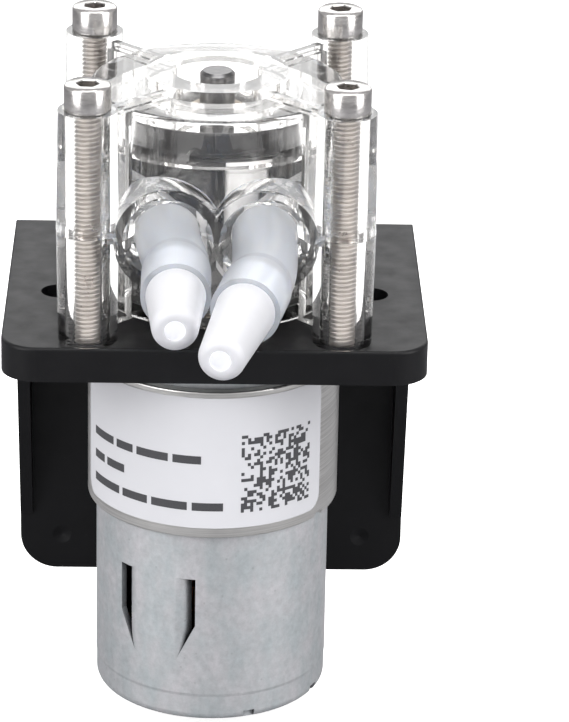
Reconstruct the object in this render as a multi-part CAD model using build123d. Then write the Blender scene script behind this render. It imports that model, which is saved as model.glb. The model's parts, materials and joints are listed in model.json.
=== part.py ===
from build123d import *

import os
from math import atan2, cos, degrees, hypot, pi, radians, sin, sqrt

# Peristaltic pump: a clear two-part pump head on an angle bracket, driven by a brushed motor under the plate.
# Frame: origin on the shaft axis at the bracket plate's top face. +Z up the shaft, -Y towards the hose ports.
# Lengths in millimetres, angles in degrees from +X towards +Y unless a comment says otherwise.

# ---- Mounting bracket ----
PLATE_HALF_WIDTH = 32.0
PLATE_FRONT_Y = -23.5
PLATE_BACK_Y = 31.5
PLATE_THICKNESS = 5.4
PLATE_FRONT_CORNER_R = 5.5
PLATE_EDGE_R = 0.5
FLANGE_THICKNESS = 4.0
FLANGE_BOTTOM_Z = -60.0
FLANGE_HALF_WIDTH = 31.4
FLANGE_CORNER_R = 6.0
GUSSET_THICKNESS = 2.0
GUSSET_REACH = 14.0
GUSSET_BOTTOM_Z = -50.0
PLATE_HOLE_SPACING = 48.0
PLATE_HOLE_R = 2.7
FLANGE_HOLE_SPACING = 49.2
FLANGE_HOLE_Z = -54.0
FLANGE_HOLE_R = 1.6
FLANGE_HOLE_DEPTH = 3.0
FLANGE_DIMPLE_DEPTH = 0.4
GUSSET_TIP_WIDTH = 0.6
PLATE_BOSS_CLEARANCE = 0.2
PLATE_SCREW_CLEARANCE = 0.15

# ---- Pump head ----
POST_PITCH = 38.0
POST_TOP_Z = 36.0
POST_END_R = 4.45
POST_SPLIT_R = 4.7
POST_BORE_R = 2.2
SPLIT_Z = 17.2
SPLIT_GAP = 0.04
DRUM_R = 19.2
DRUM_BOTTOM_Z = 1.4
DRUM_TOP_Z = 34.3
DRUM_EDGE_R = 0.7
WEB_THICKNESS = 2.8
TOP_RIB_THICKNESS = 1.3
TOP_RIB_HEIGHT = 1.0
RING_OUTER_R = 10.9
RING_HOLE_R = 6.8
RACEWAY_R = 17.2
RACEWAY_HALF_HEIGHT = 9.2
STEP_R = 16.4
STEP_BOTTOM_Z = 5.35
CHAMBER_R = 15.6
CHAMBER_BOTTOM_Z = 3.2
UPPER_STEP_R = 14.8
UPPER_STEP_TOP_Z = 27.0
UPPER_CHAMBER_R = 12.9
UPPER_CHAMBER_TOP_Z = 31.2
PORT_X = 7.1
PORT_OUTER_R = 8.0
PORT_FRONT_Y = -24.0
PORT_ROOT_Y = -9.0
PORT_FUNNEL_R = 6.7
PORT_FUNNEL_DEPTH = 3.5
SPLIT_LIP_HALF_THICKNESS = 0.9
SPLIT_LIP_FRONT_Y = -22.6
SPLIT_LIP_BACK_Y = -16.0

# ---- Head screws: M4 socket heads ----
SCREW_SHANK_R = 1.95
SCREW_TIP_Z = -4.2
SCREW_TAPPED_R = 2.0
SCREW_HEAD_R = 3.5
SCREW_HEAD_HEIGHT = 4.0
SCREW_HEX_FLATS = 3.0
SCREW_HEX_DEPTH = 2.2
SCREW_HEAD_CHAMFER = 0.4

# ---- Rotor: friction planetary drive ----
SUN_R = 2.65
SUN_BOTTOM_Z = 1.2
SUN_CHAMFER = 0.45
ROLLER_SWEEP_R = 14.2
RUNNING_CLEARANCE = 0.04
ROLLER_R = (ROLLER_SWEEP_R - SUN_R - RUNNING_CLEARANCE) / 2
ROLLER_ORBIT_R = SUN_R + RUNNING_CLEARANCE + ROLLER_R
ROLLER_BOTTOM_Z = 6.8
ROLLER_TOP_Z = 26.5
ROLLER_ANGLES = (-71.0, 49.0, 169.0)
ROLLER_GROOVE_DEPTH = 0.25
PIN_R = 1.5
CARRIER_R = 15.1
CARRIER_PLATE_THICKNESS = 2.8
CARRIER_COVER_R = 12.5
CARRIER_COVER_THICKNESS = 4.0
CARRIER_PLATE_GAP = 0.3
CARRIER_POCKET_CLEARANCE = 0.35
CARRIER_BLOCK_INNER_R = 3.6
CARRIER_BLOCK_OUTER_R = 13.95
CARRIER_SCREW_ORBIT_R = 10.2
CARRIER_SCREW_R = 1.0
CARRIER_SCREW_HEAD_R = 1.9
CARRIER_BUSH_R = 4.3
CARRIER_EDGE_R = 0.4
CARRIER_SCREW_HEAD_DEPTH = 1.0
CARRIER_SCREW_LENGTH = 7.5
CARRIER_SCREW_HOLE_DEPTH = 8.0
CARRIER_SCREW_SLOT = (0.5, 0.6)
ROLLER_CHAMFER = 0.5
ROLLER_GROOVE_WIDTH = 0.4
ROLLER_GROOVE_PLACES = (1.6, 17.7)
PIN_RECESS = 0.1
SEAT_CLEARANCE = 0.02
CUT_PAST = 1.0

# ---- Tube ----
TUBE_OUTER_R = 4.8
TUBE_LUMEN_R = 3.2
TUBE_PINCHED_THICKNESS = 2.85
TUBE_SLIT = 0.35
TUBE_RACEWAY_GAP = 0.05
TUBE_CHANNEL_CLEARANCE = 0.15
TUBE_CHANNEL_END_CLEARANCE = 0.02
TUBE_END_OUTER_R = 5.05
TUBE_END_LUMEN_R = 3.5
TUBE_SWOLLEN_LENGTH = 9.0
TUBE_SWELL_RUNOUT = 2.0
TUBE_MAX_STEP = 0.02
TUBE_WRAP_OVERRUN = 25.0
TUBE_STEPS_OUTSIDE = 14
TUBE_STEPS_INSIDE = 20
INLET_END = (-5.75, -45.5)
INLET_HEADING = 90.0
OUTLET_END = (4.05, -51.0)
OUTLET_HEADING = 79.0

# ---- Hose connectors ----
CONNECTOR_STEM_R = 3.45
CONNECTOR_STEM_LENGTH = 8.5
CONNECTOR_CONE_BASE_R = 4.3
CONNECTOR_TIP_R = 3.25
CONNECTOR_BORE_R = 1.5
CONNECTOR_TIP_ROUND = 1.55
INLET_CONE_LENGTH = 13.0
OUTLET_CONE_LENGTH = 18.6

# ---- Motor ----
MOTOR_TOP_Z = -PLATE_THICKNESS
MOTOR_BOTTOM_Z = -64.7
CAN_R = 18.15
CAN_WALL = 1.0
CAN_TOP_ROUND = 1.4
CAN_BOTTOM_ROUND = 1.3
CAN_LIP = 0.9
CAN_LIP_HEIGHT = 0.6
CAN_BOSS_R = 6.5
CAN_BOSS_HEIGHT = 4.2
CAN_SCREW_CLEARANCE = 0.05
CRIMP_NOTCH_AZIMUTHS = (19.6, 63.7, 199.6, 243.7)
CRIMP_NOTCH_WIDTH = 1.8
CRIMP_NOTCH_HEIGHT = 1.5
CRIMP_NOTCH_DEPTH = 0.8
CRIMP_STEP_Z = -60.0
CRIMP_STEP_HEIGHT = 0.5
CRIMP_STEP_DEPTH = 0.08
FLUX_RING_R = 19.5
FLUX_RING_TOP_Z = -8.5
FLUX_RING_BOTTOM_Z = -32.65
FLUX_RING_NOTCH_AZIMUTH = 57.0
FLUX_RING_SEAM_AZIMUTH = 180.0
FLUX_RING_SEAM_WIDTH = 0.3
FLUX_RING_EDGE_R = 0.3
FLUX_RING_NOTCH_WIDTH = 2.0
FLUX_RING_NOTCH_HEIGHT = 0.7
LABEL_GLUE = 0.01
LABEL_THICKNESS = 0.1
LABEL_TOP_Z = -9.46
LABEL_BOTTOM_Z = -30.93
LABEL_LEFT_AZIMUTH = -75.0
LABEL_RIGHT_AZIMUTH = 56.7
LABEL_CORNER_R = 2.5
VENT_TOP_Z = -40.4
VENT_KNEE_Z = -48.3
VENT_TIP_Z = -54.6
VENT_WIDTH = 3.1
VENT_PAIR_AZIMUTHS = (-29.0, 151.0)
VENT_HALF_SPREAD = 16.2
VENT_FLAP_THICKNESS = 0.8
VENT_FLAP_BEND_R = 2.1
VENT_FLAP_ROOT = (0.1, 0.3)
MOTOR_SCREW_SPACING = 25.0
MOTOR_SCREW_R = 1.45
MOTOR_SCREW_HEAD_R = 2.9
MOTOR_SCREW_HEAD_DEPTH = 1.6
MOTOR_SCREW_LENGTH = 8.4
MOTOR_SCREW_SLOT = (0.8, 0.9)
MOTOR_SCREW_RECESS = 0.05
SHAFT_R = 1.585
SHAFT_BOTTOM_Z = -65.9
SHAFT_TOP_Z = 27.0
SHAFT_CHAMFER = 0.3
SHAFT_SOCKET_CLEARANCE = 0.5
BEARING_R = 3.5
MAGNET_INNER_R = 13.4
MAGNET_TOP_Z = -9.5
MAGNET_BOTTOM_Z = -39.8
MAGNET_SPAN = 132.0
MAGNET_BOND = 0.05
CLIP_THICKNESS = 0.6
CLIP_END_GAP = 6.0
CLIP_SIDE_GAP = 2.0
CORE_R = 12.7
CORE_TOP_Z = -12.5
CORE_BOTTOM_Z = -37.5
CORE_SLOTS = 5
CORE_SLOT_R = 3.3
CORE_SLOT_ORBIT_R = 8.3
CORE_SLOT_MOUTH = 1.6
WINDING_END_LENGTH = 3.6
WINDING_END_INNER_R = 4.6
WINDING_CLEARANCE = 0.1
WINDING_OVERLAP = 0.5
COMMUTATOR_R = 4.5
COMMUTATOR_TOP_Z = -48.5
COMMUTATOR_BOTTOM_Z = -56.5
COMMUTATOR_SLIT = 0.4
COMMUTATOR_SLIT_DEPTH = 0.8
END_CAP_TOP_Z = -58.5
END_CAP_BOSS_R = 5.6
END_CAP_BOSS_LENGTH = 2.2
END_CAP_EDGE_R = 0.8
END_CAP_FIT = 0.05
BEARING_FLOOR = 0.8
BRUSH_INNER_X = COMMUTATOR_R + 0.05
BRUSH_OUTER_X = 11.5
BRUSH_WIDTH = 3.6
BRUSH_HEIGHT = 4.6
BRUSH_HOLDER_WALL = 0.5
BRUSH_HOLDER_INNER_X = 6.5
BRUSH_SPRING_THICKNESS = 0.35
BRUSH_SPRING_GAP = 0.03
BRUSH_SPRING_SIDE_GAP = 0.3
BRUSH_SPRING_REACH = 1.2
BRUSH_HOLDER_FIT = 0.05
BRUSH_HOLDER_SETBACK = 0.5
TERMINAL_X = 11.0
TERMINAL_Y = 6.0
TERMINAL_WIDTH = 4.75
TERMINAL_THICKNESS = 0.8
TERMINAL_BOTTOM_Z = -70.5
TERMINAL_HOLE_R = 0.9
TERMINAL_HOLE_EDGE = 2.2
TERMINAL_CORNER_R = 1.0
TERMINAL_STUB = 0.5

BOTTOM_UP = (Align.CENTER, Align.CENTER, Align.MIN)
POST_PLACES = [(sx * POST_PITCH / 2, sy * POST_PITCH / 2) for sx in (-1, 1) for sy in (-1, 1)]


# ---- Shared shapes ----
def rod(radius, low_z, high_z, x=0.0, y=0.0):
    """An upright cylinder between two heights."""
    return Pos(x, y, low_z) * Cylinder(radius, high_z - low_z, align=BOTTOM_UP)


def taper(low_radius, high_radius, low_z, high_z, x=0.0, y=0.0):
    """An upright cone frustum between two heights."""
    return Pos(x, y, low_z) * Cone(low_radius, high_radius, high_z - low_z, align=BOTTOM_UP)


def block(low, high):
    """A box between two opposite corners."""
    size = [b - a for a, b in zip(low, high)]
    middle = [(a + b) / 2 for a, b in zip(low, high)]
    return Pos(*middle) * Box(*size)


def y_rod(radius, low_y, high_y, x, z):
    """A cylinder lying along Y between two places."""
    return Pos(x, low_y, z) * Rot(-90, 0, 0) * Cylinder(radius, high_y - low_y, align=BOTTOM_UP)


def y_taper(low_radius, high_radius, low_y, high_y, x, z):
    """A cone frustum lying along Y between two places."""
    return Pos(x, low_y, z) * Rot(-90, 0, 0) * Cone(low_radius, high_radius, high_y - low_y, align=BOTTOM_UP)


def polar(radius, angle):
    """Plan coordinates of a point at a radius and angle from the shaft."""
    return radius * cos(radians(angle)), radius * sin(radians(angle))


def to_azimuth(azimuth):
    """Turns a shape built facing -Y to an azimuth counted from -Y towards +X."""
    return Rot(0, 0, azimuth)


# ---- Mounting bracket ----
def mounting_bracket():
    """One moulded angle: a top plate, a back flange with rounded lower corners, and two side gussets."""
    outline = Pos(0, (PLATE_FRONT_Y + PLATE_BACK_Y) / 2) * Rectangle(
        2 * PLATE_HALF_WIDTH, PLATE_BACK_Y - PLATE_FRONT_Y
    )
    outline = fillet(outline.vertices().sort_by(Axis.Y)[:2], PLATE_FRONT_CORNER_R)
    plate = Pos(0, 0, -PLATE_THICKNESS) * extrude(outline, PLATE_THICKNESS)
    plate = fillet(plate.faces().sort_by(Axis.Z)[-1].edges(), PLATE_EDGE_R)

    flange = block(
        (-FLANGE_HALF_WIDTH, PLATE_BACK_Y - FLANGE_THICKNESS, FLANGE_BOTTOM_Z),
        (FLANGE_HALF_WIDTH, PLATE_BACK_Y, -PLATE_THICKNESS),
    )
    lower_corners = flange.edges().filter_by(Axis.Y).sort_by(Axis.Z)[:2]
    flange = fillet(lower_corners, FLANGE_CORNER_R)

    front_y = PLATE_BACK_Y - FLANGE_THICKNESS
    triangle = Polyline(
        (front_y - GUSSET_REACH, -PLATE_THICKNESS),
        (front_y, -PLATE_THICKNESS),
        (front_y, GUSSET_BOTTOM_Z),
        (front_y - GUSSET_TIP_WIDTH, GUSSET_BOTTOM_Z),
        close=True,
    )
    gusset = extrude(Plane.YZ * make_face(triangle), GUSSET_THICKNESS)
    bracket = plate + flange
    bracket += Pos(-FLANGE_HALF_WIDTH, 0, 0) * gusset
    bracket += Pos(FLANGE_HALF_WIDTH - GUSSET_THICKNESS, 0, 0) * gusset

    low, high = -PLATE_THICKNESS - CUT_PAST, CUT_PAST
    screw_hole_r = MOTOR_SCREW_R + PLATE_SCREW_CLEARANCE
    bracket -= rod(CAN_BOSS_R + PLATE_BOSS_CLEARANCE, low, high)
    for side in (-1, 1):
        bracket -= rod(PLATE_HOLE_R, low, high, side * PLATE_HOLE_SPACING / 2)
        screw_x = side * MOTOR_SCREW_SPACING / 2
        head_hole_r = MOTOR_SCREW_HEAD_R + PLATE_SCREW_CLEARANCE
        bracket -= rod(screw_hole_r, low, high, screw_x)
        bracket -= taper(screw_hole_r, head_hole_r, -MOTOR_SCREW_HEAD_DEPTH, 0, screw_x)
        hole_x = side * FLANGE_HOLE_SPACING / 2
        hole_front_y, hole_back_y = PLATE_BACK_Y - FLANGE_HOLE_DEPTH, PLATE_BACK_Y + CUT_PAST
        bracket -= y_rod(FLANGE_HOLE_R, hole_front_y, hole_back_y, hole_x, FLANGE_HOLE_Z)
        dimple_y = front_y + FLANGE_DIMPLE_DEPTH
        bracket -= y_taper(FLANGE_HOLE_R, 0.1, front_y - 0.01, dimple_y, hole_x, FLANGE_HOLE_Z)
    for x, y in POST_PLACES:
        bracket -= rod(SCREW_TAPPED_R, low, high, x, y)
    return bracket


# ---- Pump head ----
def head_blank():
    """The outside of both head halves as one solid, before the cavity is cut."""
    drum = rod(DRUM_R, DRUM_BOTTOM_Z, DRUM_TOP_Z)
    drum = fillet(drum.edges().filter_by(GeomType.CIRCLE), DRUM_EDGE_R)
    blank = drum + rod(RING_OUTER_R, 0, POST_TOP_Z)
    post_orbit = hypot(*POST_PLACES[0])
    for x, y in POST_PLACES:
        turn = Rot(0, 0, degrees(atan2(y, x)))
        half_web, half_rib = WEB_THICKNESS / 2, TOP_RIB_THICKNESS / 2
        blank += turn * block((DRUM_R - 1.5, -half_web, DRUM_BOTTOM_Z), (post_orbit, half_web, DRUM_TOP_Z))
        rib_top = DRUM_TOP_Z + TOP_RIB_HEIGHT
        rib_start = (RING_OUTER_R - 0.5, -half_rib, DRUM_TOP_Z - 1)
        blank += turn * block(rib_start, (post_orbit, half_rib, rib_top))
        blank += taper(POST_END_R, POST_SPLIT_R, 0, SPLIT_Z, x, y)
        blank += taper(POST_SPLIT_R, POST_END_R, SPLIT_Z, POST_TOP_Z, x, y)
    for side in (-1, 1):
        blank += y_rod(PORT_OUTER_R, PORT_FRONT_Y, PORT_ROOT_Y, side * PORT_X, SPLIT_Z)
    lip_x = POST_PITCH / 2
    blank += block(
        (-lip_x, SPLIT_LIP_FRONT_Y, SPLIT_Z - SPLIT_LIP_HALF_THICKNESS),
        (lip_x, SPLIT_LIP_BACK_Y, SPLIT_Z + SPLIT_LIP_HALF_THICKNESS),
    )
    return blank


def head_cavity():
    """The raceway with its stepped ends, the shaft openings, the screw bores and the tube channels."""
    cavity = rod(RACEWAY_R, SPLIT_Z - RACEWAY_HALF_HEIGHT, SPLIT_Z + RACEWAY_HALF_HEIGHT)
    cavity += rod(STEP_R, STEP_BOTTOM_Z, SPLIT_Z)
    cavity += rod(CHAMBER_R, CHAMBER_BOTTOM_Z, SPLIT_Z)
    cavity += rod(UPPER_STEP_R, SPLIT_Z, UPPER_STEP_TOP_Z)
    cavity += rod(UPPER_CHAMBER_R, SPLIT_Z, UPPER_CHAMBER_TOP_Z)
    cavity += rod(RING_HOLE_R, -CUT_PAST, POST_TOP_Z + CUT_PAST)
    for side in (-1, 1):
        cavity += y_taper(
            PORT_FUNNEL_R,
            TUBE_OUTER_R,
            PORT_FRONT_Y,
            PORT_FRONT_Y + PORT_FUNNEL_DEPTH,
            side * PORT_X,
            SPLIT_Z,
        )
    for x, y in POST_PLACES:
        cavity += rod(POST_BORE_R, -CUT_PAST, POST_TOP_Z + CUT_PAST, x, y)
    for channel in tube_channels():
        cavity += channel
    return cavity


def head_halves():
    """The clear lower body and the clear cover, parted at the tube's centre plane by a hair's gap."""
    head = head_blank() - head_cavity()
    half_size = 60.0
    body_top, cover_bottom = SPLIT_Z - SPLIT_GAP / 2, SPLIT_Z + SPLIT_GAP / 2
    below = block((-half_size, -half_size, -half_size), (half_size, half_size, body_top))
    above = block((-half_size, -half_size, cover_bottom), (half_size, half_size, half_size))
    return head & below, head & above


# ---- Tube ----
TUBE_BAND_R = RACEWAY_R - TUBE_RACEWAY_GAP - TUBE_PINCHED_THICKNESS / 2
TUBE_SIDES = ((INLET_END, INLET_HEADING, -1), (OUTLET_END, OUTLET_HEADING, 1))


def curve_between(start, start_heading, end, end_heading, share):
    """Point and heading at a share of the way along a smooth curve with set end headings."""
    span = hypot(end[0] - start[0], end[1] - start[1])
    t, point, slope = share, [], []
    start_push = polar(span, start_heading)
    end_push = polar(span, end_heading)
    for a, push_a, b, push_b in zip(start, start_push, end, end_push):
        point.append(
            (2 * t**3 - 3 * t**2 + 1) * a
            + (t**3 - 2 * t**2 + t) * push_a
            + (3 * t**2 - 2 * t**3) * b
            + (t**3 - t**2) * push_b
        )
        slope.append(
            (6 * t**2 - 6 * t) * a
            + (3 * t**2 - 4 * t + 1) * push_a
            + (6 * t - 6 * t**2) * b
            + (3 * t**2 - 2 * t) * push_b
        )
    return point, degrees(atan2(slope[1], slope[0]))


def clear_half_width(point, heading):
    """Half the tube's width at a place: round where there is room, pinched where the rollers pass."""
    pinched = TUBE_PINCHED_THICKNESS / 2
    sweep = RACEWAY_R - TUBE_RACEWAY_GAP - TUBE_PINCHED_THICKNESS
    inward = polar(1, heading - 90) if point[0] < 0 else polar(1, heading + 90)
    half = TUBE_OUTER_R
    while half > pinched and hypot(point[0] + half * inward[0], point[1] + half * inward[1]) < sweep:
        half -= TUBE_MAX_STEP
    return max(half, pinched)


def tube_sizes(point, heading, from_end):
    """Half width and height of the tube and of its lumen, keeping the round tube's girth when pinched."""
    if from_end < TUBE_SWOLLEN_LENGTH + TUBE_SWELL_RUNOUT:
        swell = min(1.0, (TUBE_SWOLLEN_LENGTH + TUBE_SWELL_RUNOUT - from_end) / TUBE_SWELL_RUNOUT)
        outer = TUBE_OUTER_R + swell * (TUBE_END_OUTER_R - TUBE_OUTER_R)
        lumen = TUBE_LUMEN_R + swell * (TUBE_END_LUMEN_R - TUBE_LUMEN_R)
        return (outer, outer), (lumen, lumen)
    half = clear_half_width(point, heading)
    share = (half - TUBE_PINCHED_THICKNESS / 2) / (TUBE_OUTER_R - TUBE_PINCHED_THICKNESS / 2)
    lumen_half = TUBE_SLIT / 2 + share * (TUBE_LUMEN_R - TUBE_SLIT / 2)
    height = sqrt(2 * TUBE_OUTER_R**2 - half**2)
    lumen_height = sqrt(2 * TUBE_LUMEN_R**2 - lumen_half**2)
    return (half, height), (lumen_half, lumen_height)


def tube_side(end, end_heading, side, steps_out=TUBE_STEPS_OUTSIDE, steps_in=TUBE_STEPS_INSIDE):
    """Stations from a hose end, through a port, to the raceway: each is point, heading, sizes."""
    port = (side * PORT_X, PORT_FRONT_Y + 2.5)
    wrap_angle = 270 + side * (90 - TUBE_WRAP_OVERRUN)
    wrap = polar(TUBE_BAND_R, wrap_angle)
    wrap_heading = wrap_angle + side * 90
    straight = TUBE_SWOLLEN_LENGTH + TUBE_SWELL_RUNOUT
    stations = []
    for from_end in (0, TUBE_SWOLLEN_LENGTH / 2, TUBE_SWOLLEN_LENGTH, straight):
        dx, dy = polar(from_end, end_heading)
        last_point = (end[0] + dx, end[1] + dy)
        stations.append((last_point, end_heading, tube_sizes(last_point, end_heading, from_end)))
    for step in range(1, steps_out):
        point, heading = curve_between(last_point, end_heading, port, 90.0, step / steps_out)
        stations.append((point, heading, tube_sizes(point, heading, straight)))
    for step in range(steps_in + 1):
        point, heading = curve_between(port, 90.0, wrap, wrap_heading, step / steps_in)
        stations.append((point, heading, tube_sizes(point, heading, straight)))
    return stations


def lofted(stations, which, clearance=None):
    """A solid lofted straight from station to station: which is 0 for the outside, 1 for the lumen."""
    sections = []
    for index, (point, heading, sizes) in enumerate(stations):
        extra = clearance(index) if clearance else 0.0
        across, tall = sizes[which]
        tangent = Vector(*polar(1, heading), 0)
        plane = Plane(origin=(point[0], point[1], SPLIT_Z), x_dir=(0, 0, 1), z_dir=tangent)
        sections.append(plane * Ellipse(tall + extra, across + extra))
    return loft(sections, ruled=True)


def tube_band():
    """The pinched stretch of tube that lies against the raceway, round the back from port to port."""
    half = TUBE_PINCHED_THICKNESS / 2
    slit_half = TUBE_SLIT / 2
    profile = Ellipse(half, sqrt(2 * TUBE_OUTER_R**2 - half**2))
    profile -= Ellipse(slit_half, sqrt(2 * TUBE_LUMEN_R**2 - slit_half**2))
    band = revolve(Plane.XZ * Pos(TUBE_BAND_R, SPLIT_Z) * profile, Axis.Z, 180 + 2 * TUBE_WRAP_OVERRUN)
    return Rot(0, 0, -TUBE_WRAP_OVERRUN) * band


def pump_tube():
    """One silicone tube: round in the ports, pinched along the raceway, swollen over the connectors."""
    tube = tube_band()
    for end, heading, side in TUBE_SIDES:
        stations = tube_side(end, heading, side)
        tube += lofted(stations, 0) - lofted(stations, 1)
    return tube


def tube_channels():
    """Clearance for the tube through both port walls, fading out where the raceway takes over."""
    channels = []
    for end, heading, side in TUBE_SIDES:
        stations = [s for s in tube_side(end, heading, side) if s[0][1] > PORT_FRONT_Y - 4]
        last = len(stations) - 1
        kept = TUBE_CHANNEL_CLEARANCE - TUBE_CHANNEL_END_CLEARANCE
        channels.append(
            lofted(
                stations,
                0,
                lambda index: TUBE_CHANNEL_END_CLEARANCE + kept * min(1.0, 2 * (1 - index / last)),
            )
        )
    return channels


# ---- Hose connectors ----
def connector(end, heading, cone_length):
    """A white barb: a stem held in the tube's end, a tapered nose outside, and a bore right through."""
    nose = taper(CONNECTOR_CONE_BASE_R, CONNECTOR_TIP_R, 0.05, cone_length)
    nose = fillet(nose.faces().sort_by(Axis.Z)[-1].edges(), CONNECTOR_TIP_ROUND)
    shape = nose + rod(CONNECTOR_STEM_R, -CONNECTOR_STEM_LENGTH, 0.05)
    shape -= rod(CONNECTOR_BORE_R, -CONNECTOR_STEM_LENGTH - 1, cone_length + 1)
    away = Vector(*polar(-1, heading), 0)
    return Plane(origin=(end[0], end[1], SPLIT_Z), x_dir=(0, 0, 1), z_dir=away).location * shape


# ---- Fasteners ----
def head_screws():
    """Four M4 socket head screws that clamp the cover and body to the bracket plate."""
    head = rod(SCREW_HEAD_R, 0, SCREW_HEAD_HEIGHT)
    head = chamfer(head.faces().sort_by(Axis.Z)[-1].edges(), SCREW_HEAD_CHAMFER)
    hexagon = RegularPolygon(SCREW_HEX_FLATS / 2 / cos(pi / 6), 6)
    socket = Pos(0, 0, SCREW_HEAD_HEIGHT - SCREW_HEX_DEPTH) * extrude(hexagon, SCREW_HEX_DEPTH)
    shank = rod(SCREW_SHANK_R, SCREW_TIP_Z - POST_TOP_Z, 0)
    shank = chamfer(shank.faces().sort_by(Axis.Z)[0].edges(), SCREW_HEAD_CHAMFER)
    screw = head - socket + shank
    return Compound(children=[Pos(x, y, POST_TOP_Z) * screw for x, y in POST_PLACES])


def motor_screws():
    """Two countersunk M3 screws that hold the motor's face under the plate."""
    screw = rod(MOTOR_SCREW_R, -MOTOR_SCREW_LENGTH, -MOTOR_SCREW_HEAD_DEPTH)
    screw += taper(MOTOR_SCREW_R, MOTOR_SCREW_HEAD_R, -MOTOR_SCREW_HEAD_DEPTH, -MOTOR_SCREW_RECESS)
    slot_width, slot_depth = MOTOR_SCREW_SLOT
    half = slot_width / 2
    screw -= block((-half, -MOTOR_SCREW_HEAD_R, -slot_depth), (half, MOTOR_SCREW_HEAD_R, 0))
    return Compound(children=[Pos(side * MOTOR_SCREW_SPACING / 2, 0, 0) * screw for side in (-1, 1)])


# ---- Motor case ----
def vent_prism(inner_r):
    """A vent outline with one long straight side and a point, as a radial prism facing -Y."""
    half = VENT_WIDTH / 2
    outline = Polyline(
        (-half, VENT_TOP_Z),
        (half, VENT_TOP_Z),
        (half, VENT_TIP_Z),
        (-half, VENT_KNEE_Z),
        close=True,
    )
    prism = extrude(Plane.XZ * make_face(outline), CAN_R + 2)
    return prism - rod(inner_r, VENT_TIP_Z - CUT_PAST, VENT_TOP_Z + CUT_PAST)


def vent_flap():
    """The louvre pressed out of a vent: joined along the long side, it curls inward across the hole."""
    hinge_x = VENT_WIDTH / 2
    centre_y = -sqrt(CAN_R**2 - hinge_x**2) + VENT_FLAP_BEND_R
    curl = rod(VENT_FLAP_BEND_R, VENT_TIP_Z, VENT_TOP_Z, hinge_x, centre_y)
    inside_r = VENT_FLAP_BEND_R - VENT_FLAP_THICKNESS
    curl -= rod(inside_r, VENT_TIP_Z - CUT_PAST, VENT_TOP_Z + CUT_PAST, hinge_x, centre_y)
    flap = curl & vent_prism(CAN_R - VENT_FLAP_BEND_R)
    bite, reach = VENT_FLAP_ROOT
    root = block(
        (hinge_x - bite, -CAN_R + bite, VENT_TIP_Z + bite),
        (hinge_x + reach, -CAN_R + bite + VENT_FLAP_THICKNESS, VENT_TOP_Z),
    )
    return flap + root


def motor_can():
    """The drawn steel can, closed at the top around a bearing boss, with paired vents and crimp notches."""
    crimped_r = CAN_R - CRIMP_STEP_DEPTH
    can = rod(CAN_R, CRIMP_STEP_Z, MOTOR_TOP_Z)
    can += taper(crimped_r, CAN_R, CRIMP_STEP_Z - CRIMP_STEP_HEIGHT, CRIMP_STEP_Z)
    can += rod(crimped_r, MOTOR_BOTTOM_Z, CRIMP_STEP_Z - CRIMP_STEP_HEIGHT)
    can = fillet(can.faces().sort_by(Axis.Z)[-1].edges(), CAN_TOP_ROUND)
    can = fillet(can.faces().sort_by(Axis.Z)[0].edges(), CAN_BOTTOM_ROUND)
    can += rod(CAN_BOSS_R, MOTOR_TOP_Z, MOTOR_TOP_Z + CAN_BOSS_HEIGHT)
    inner_r = CAN_R - CAN_WALL
    can -= rod(inner_r, MOTOR_BOTTOM_Z + CAN_LIP_HEIGHT, MOTOR_TOP_Z - CAN_WALL)
    can -= rod(inner_r - CAN_LIP, MOTOR_BOTTOM_Z - CUT_PAST, MOTOR_BOTTOM_Z + CUT_PAST)
    top_cut_z = MOTOR_TOP_Z - 2 * CAN_WALL
    can -= rod(BEARING_R + SEAT_CLEARANCE, top_cut_z, MOTOR_TOP_Z + CAN_BOSS_HEIGHT + CUT_PAST)
    for side in (-1, 1):
        can -= rod(MOTOR_SCREW_R + CAN_SCREW_CLEARANCE, top_cut_z, 0, side * MOTOR_SCREW_SPACING / 2)
    vent, flap = vent_prism(inner_r - CAN_WALL / 2), vent_flap()
    for azimuth in VENT_PAIR_AZIMUTHS:
        left, right = to_azimuth(azimuth - VENT_HALF_SPREAD), to_azimuth(azimuth + VENT_HALF_SPREAD)
        can -= left * vent
        can -= right * mirror(vent, Plane.YZ)
        can += left * flap
        can += right * mirror(flap, Plane.YZ)
    half = CRIMP_NOTCH_WIDTH / 2
    notch = block(
        (-half, -CAN_R - CUT_PAST, MOTOR_BOTTOM_Z - CUT_PAST),
        (half, -crimped_r + CRIMP_NOTCH_DEPTH, MOTOR_BOTTOM_Z + CRIMP_NOTCH_HEIGHT),
    )
    for azimuth in CRIMP_NOTCH_AZIMUTHS:
        can -= to_azimuth(azimuth) * notch
    return can


def flux_ring():
    """The rolled steel sleeve on the can, with its butt seam behind and a small notch in the lower edge."""
    ring = rod(FLUX_RING_R, FLUX_RING_BOTTOM_Z, FLUX_RING_TOP_Z)
    ring = fillet(ring.edges().filter_by(GeomType.CIRCLE), FLUX_RING_EDGE_R)
    low, high = FLUX_RING_BOTTOM_Z - CUT_PAST, FLUX_RING_TOP_Z + CUT_PAST
    ring -= rod(CAN_R + SEAT_CLEARANCE, low, high)
    outer_y, inner_y = -FLUX_RING_R - CUT_PAST, -CAN_R + CUT_PAST
    half = FLUX_RING_SEAM_WIDTH / 2
    ring -= to_azimuth(FLUX_RING_SEAM_AZIMUTH) * block((-half, outer_y, low), (half, inner_y, high))
    half = FLUX_RING_NOTCH_WIDTH / 2
    notch = block((-half, outer_y, low), (half, inner_y, FLUX_RING_BOTTOM_Z + FLUX_RING_NOTCH_HEIGHT))
    return ring - to_azimuth(FLUX_RING_NOTCH_AZIMUTH) * notch


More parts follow.
